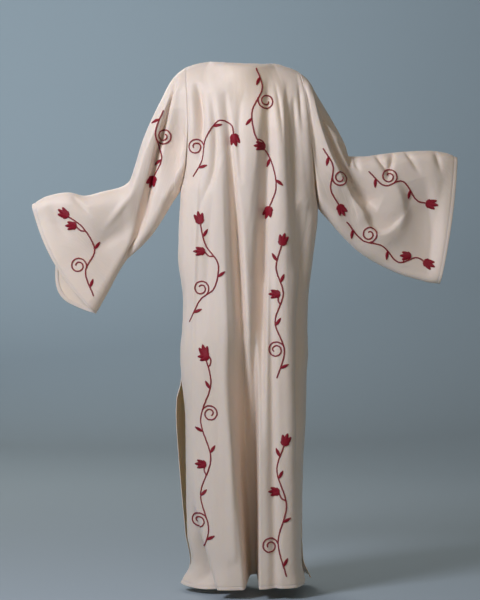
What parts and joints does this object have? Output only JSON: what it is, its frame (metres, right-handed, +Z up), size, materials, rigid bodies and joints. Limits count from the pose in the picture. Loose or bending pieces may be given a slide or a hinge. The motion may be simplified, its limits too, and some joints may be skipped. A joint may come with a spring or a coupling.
{
  "type": "kaftan",
  "caption": "Long loose gown of cream satin with very wide sleeves held out to the sides, open at the neck, cuffs, hem and side slits, hanging in deep soft folds",
  "frame": {"origin": "the middle of the shoulder line at the base of the neck, where the wearer's shoulders hold the garment up", "axes": "+Z up along the length of the gown, +Y behind the wearer, +X to the wearer's left"},
  "size_m": [1.2041, 0.2973, 1.4768],
  "materials": {
    "satin_back": "soft satin crepe, cream, with dark red hand embroidery",
    "satin_front": "soft satin crepe, cream",
    "satin_sleeve_left": "soft satin crepe, cream, with dark red hand embroidery",
    "satin_sleeve_right": "soft satin crepe, cream, with dark red hand embroidery"
  },
  "bodies": {
    "root": {"back": "satin_back", "front": "satin_front", "sleeve_left": "satin_sleeve_left", "sleeve_right": "satin_sleeve_right"}
  },
  "joints": []
}
